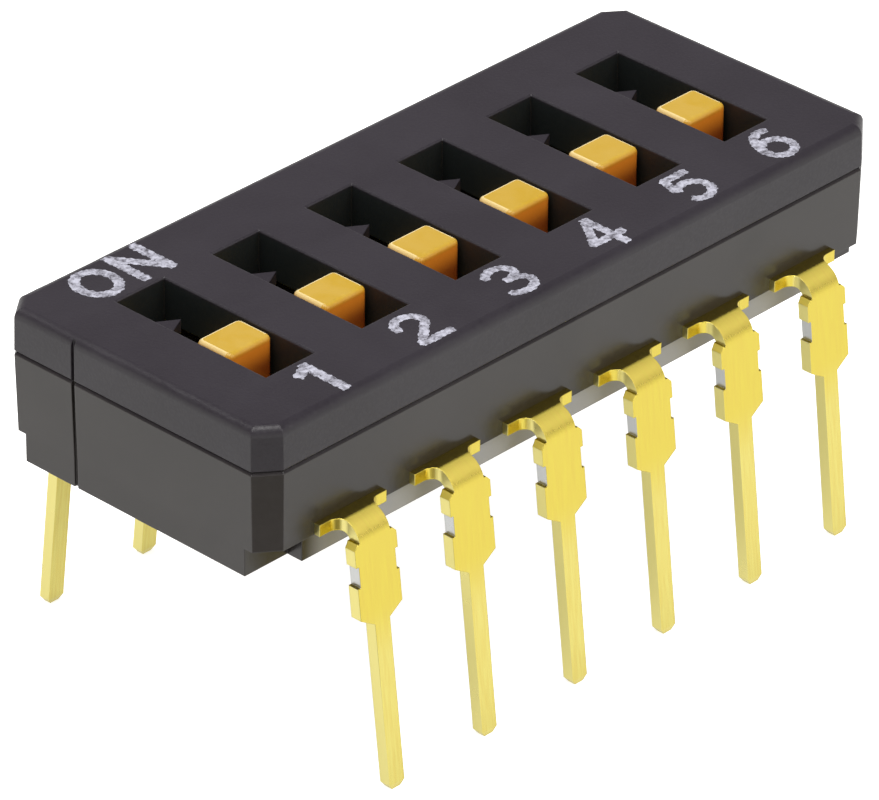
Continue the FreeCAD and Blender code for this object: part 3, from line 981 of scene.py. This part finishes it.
@dataclass
class Metalwork:
    """The fixed terminals and the movable contacts."""

    terminal_sheet: GoldSheet = GoldSheet(
        plating=Plating.BRIGHT_GOLD,
        colour=(0.80, 0.665, 0.11),
        thin_colour=(0.77, 0.57, 0.11),
        sheared_colour=(0.84, 0.75, 0.27),
        bare_colour=(0.62, 0.63, 0.62),
        low_colour=(0.83, 0.74, 0.22),
        roughness=0.20,
        sheared_roughness=0.30,
        matt_roughness=0.45,
        matt_share=0.5,
        streak_width=0.05,
        streak_length=0.9,
        streak_depth=0.0012,
        edge_radius=0.03,
    )
    contact_sheet: GoldSheet = GoldSheet(
        plating=Plating.SPRING_GOLD,
        colour=(0.80, 0.62, 0.14),
        thin_colour=(0.72, 0.50, 0.14),
        sheared_colour=(0.76, 0.62, 0.26),
        bare_colour=(0.76, 0.62, 0.26),
        low_colour=(0.80, 0.62, 0.14),
        roughness=0.28,
        sheared_roughness=0.40,
        matt_roughness=0.28,
        matt_share=0.0,
        streak_width=0.03,
        streak_length=0.4,
        streak_depth=0.0008,
        edge_radius=0.015,
    )

    def build(self, nodes: dict[str, bpy.types.Object], effects: SurfaceEffects) -> None:
        """Dress every terminal and contact.

        Args:
            nodes: The frame's nodes by name.
            effects: The shared node groups.
        """
        terminals = [f"terminal_{i + 1}" for i in range(2 * POSITIONS)]
        contacts = [f"contact_{i + 1}" for i in range(POSITIONS)]
        dress(nodes, terminals, self.terminal_sheet.material(effects))
        dress(nodes, contacts, self.contact_sheet.material(effects))


@dataclass(frozen=True)
class Lamp:
    """A soft square lamp that points at the part.

    Its place is that of its middle, its size is its side, and its power is in watts.
    """

    name: str
    place: Place
    size: float
    power: float
    colour: Colour

    def hang(self) -> None:
        """Add the lamp to the scene."""
        light = bpy.data.lights.new(self.name, "AREA")
        light.shape = "SQUARE"
        light.size = self.size * MM
        light.energy = self.power
        light.color = self.colour
        lamp = bpy.data.objects.new(self.name, light)
        bpy.context.scene.collection.objects.link(lamp)
        lamp.location = Vector(self.place) * MM
        lamp.rotation_euler = (-lamp.location).to_track_quat("-Z", "Y").to_euler()


@dataclass
class Studio:
    """The floor, the light and the camera.

    Mirrored glows and colours, the painted reflection shade and the sheens are what glossy
    surfaces see. The reflection shade is a dark patch painted on the floor, darkest over its core
    and ending at its radius. The sheen changes from the low one to that of the sky as a direction
    rises from level up to the sky's start.
    """

    lamps: tuple[Lamp, ...] = (
        Lamp("key", (-60.0, 20.0, 280.0), 180.0, 0.7, (1.0, 0.99, 0.97)),
        Lamp("fill", (30.0, -195.0, 160.0), 160.0, 0.21, (1.0, 0.99, 0.98)),
    )
    floor_half: float = 600.0
    floor_glow: float = 0.76
    mirrored_glow: float = 0.57
    floor_colour: Colour = (0.80, 0.79, 0.78)
    mirrored_colour: Colour = (0.36, 0.355, 0.35)
    reflection_shade_colour: Colour = (0.16, 0.15, 0.14)
    reflection_shade_place: Point = (-14.0, -13.0)
    reflection_shade_radius: float = 8.5
    reflection_shade_core: float = 4.0
    dome_light: float = 0.62
    sky_sheen: Colour = (0.235, 0.205, 0.27)
    low_sheen: Colour = (1.0, 0.98, 0.95)
    sky_start: float = 0.5
    camera_place: Place = (-89.828, -85.707, 73.166)
    camera_forward: Place = (0.62026, 0.59331, -0.51309)
    camera_right: Place = (0.69349, -0.72045, 0.00526)
    focal_length_px: float = 7381.0
    sensor_width: float = 36.0
    nearest_seen: float = 1.0
    furthest_seen: float = 10000.0

    @staticmethod
    def _floor_level() -> float:
        """Return the height of the lowest pin tips in metres."""
        return min(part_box(name)[0].z for name in ("terminal_1", "terminal_7"))

    def floor(self) -> None:
        """Lay a pale floor under the pin tips, white to the eye except where it is in shade."""
        level = self._floor_level() / MM
        half = self.floor_half
        corners = np.array([
            (-half, -half, level), (half, -half, level), (half, half, level), (-half, half, level),
        ])
        floor = new_piece("floor", corners, np.array([(0, 1, 2, 3)]))
        material = bpy.data.materials.new("floor_white")
        material.use_nodes = True
        material.node_tree.nodes.clear()
        shading = Shading(material.node_tree)
        path = shading.add("ShaderNodeLightPath")
        mirrored = path.outputs["Is Glossy Ray"]
        # Painted reflection shade: glossy rays see a dark patch on the floor here.
        reflection_shaded = shading.calculate("MULTIPLY", mirrored, self._reflection_shade(shading))
        plain = shading.blend(mirrored, self.floor_colour, self.mirrored_colour)
        colour = shading.blend(reflection_shaded, plain, self.reflection_shade_colour)
        diffuse = shading.add("ShaderNodeBsdfDiffuse", {"Color": colour})
        glow = shading.add("ShaderNodeEmission", {"Color": (*WHITE, 1.0)})
        seen = shading.calculate(
            "ADD", path.outputs["Is Camera Ray"], path.outputs["Is Transmission Ray"],
        )
        seen_glow = shading.calculate("MULTIPLY", seen, self.floor_glow)
        lit = shading.calculate("SUBTRACT", mirrored, reflection_shaded)
        strength = shading.calculate("MULTIPLY_ADD", lit, self.mirrored_glow, seen_glow)
        shading.tree.links.new(strength, glow.inputs["Strength"])
        both = shading.add(
            "ShaderNodeAddShader", {0: diffuse.outputs["BSDF"], 1: glow.outputs["Emission"]},
        )
        shading.add("ShaderNodeOutputMaterial", {"Surface": both.outputs["Shader"]})
        floor.data.materials.append(material)

    def _reflection_shade(self, shading: Shading) -> Socket:
        """Lay out a painted shade on the floor before the near corner, which only mirrors see, so
        that it shows as a dark reflection in the part.

        Args:
            shading: The floor's shading helper.

        Returns:
            A mask from 0 to 1.
        """
        position = shading.add("ShaderNodeTexCoord").outputs["Object"]
        centre = (*(value * MM for value in self.reflection_shade_place), self._floor_level())
        distance = shading.add(
            "ShaderNodeVectorMath", {0: position, 1: centre}, operation="DISTANCE",
        )
        beyond = shading.fade(
            distance.outputs["Value"], self.reflection_shade_core * MM, self.reflection_shade_radius * MM,
        )
        return shading.invert(beyond)

    def dome(self) -> None:
        """Surround the part with even light, which shows as white behind it.

        Reflections see a dome that is white near the floor and greyer overhead.
        """
        world = bpy.data.worlds.new("studio")
        bpy.context.scene.world = world
        world.use_nodes = True
        world.node_tree.nodes.clear()
        shading = Shading(world.node_tree)
        direction = shading.add("ShaderNodeTexCoord").outputs["Generated"]
        rise = shading.fade(shading.split(direction)[2], 0.0, self.sky_start)
        sheen = shading.blend(rise, self.low_sheen, self.sky_sheen)
        path = shading.add("ShaderNodeLightPath")
        mirrored = shading.calculate(
            "ADD", path.outputs["Is Glossy Ray"], path.outputs["Is Transmission Ray"],
        )
        plain = (self.dome_light,) * 3
        lit = shading.blend(mirrored, plain, sheen)
        colour = shading.blend(path.outputs["Is Camera Ray"], lit, WHITE)
        background = shading.add("ShaderNodeBackground", {"Color": colour, "Strength": 1.0})
        shading.add("ShaderNodeOutputWorld", {"Surface": background.outputs["Background"]})

    def camera(self) -> None:
        """Stand the camera where the photograph was taken from."""
        data = bpy.data.cameras.new("camera")
        data.sensor_fit = "HORIZONTAL"
        data.sensor_width = self.sensor_width
        data.lens = self.focal_length_px * self.sensor_width / PHOTO_WIDTH
        data.clip_start = self.nearest_seen * MM
        data.clip_end = self.furthest_seen * MM
        right = Vector(self.camera_right).normalized()
        back = -Vector(self.camera_forward).normalized()
        up = back.cross(right)
        camera = bpy.data.objects.new("camera", data)
        bpy.context.scene.collection.objects.link(camera)
        turned = Matrix((right, up, back)).transposed().to_4x4()
        camera.matrix_world = Matrix.Translation(Vector(self.camera_place) * MM) @ turned
        bpy.context.scene.camera = camera

    def build(self) -> None:
        """Set up the whole studio."""
        self.floor()
        self.dome()
        for lamp in self.lamps:
            lamp.hang()
        self.camera()
        bpy.context.scene.view_settings.view_transform = "Standard"


def main() -> None:
    """Build the pieces in order and report each one."""
    logging.basicConfig(level=logging.INFO, format="%(name)s: %(message)s")
    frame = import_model()
    effects = SurfaceEffects()
    nodes = frame["nodes"]
    for part in (Housing(), Sliders(), Metalwork()):
        part.build(nodes, effects)
        log.info("dressed %s", type(part).__name__.lower())
    for piece in Legends().build(effects):
        log.info("printed %s with %d faces", piece.name, len(piece.data.polygons))
    Studio().build()
    log.info("studio ready")


if __name__ == "__main__":
    main()
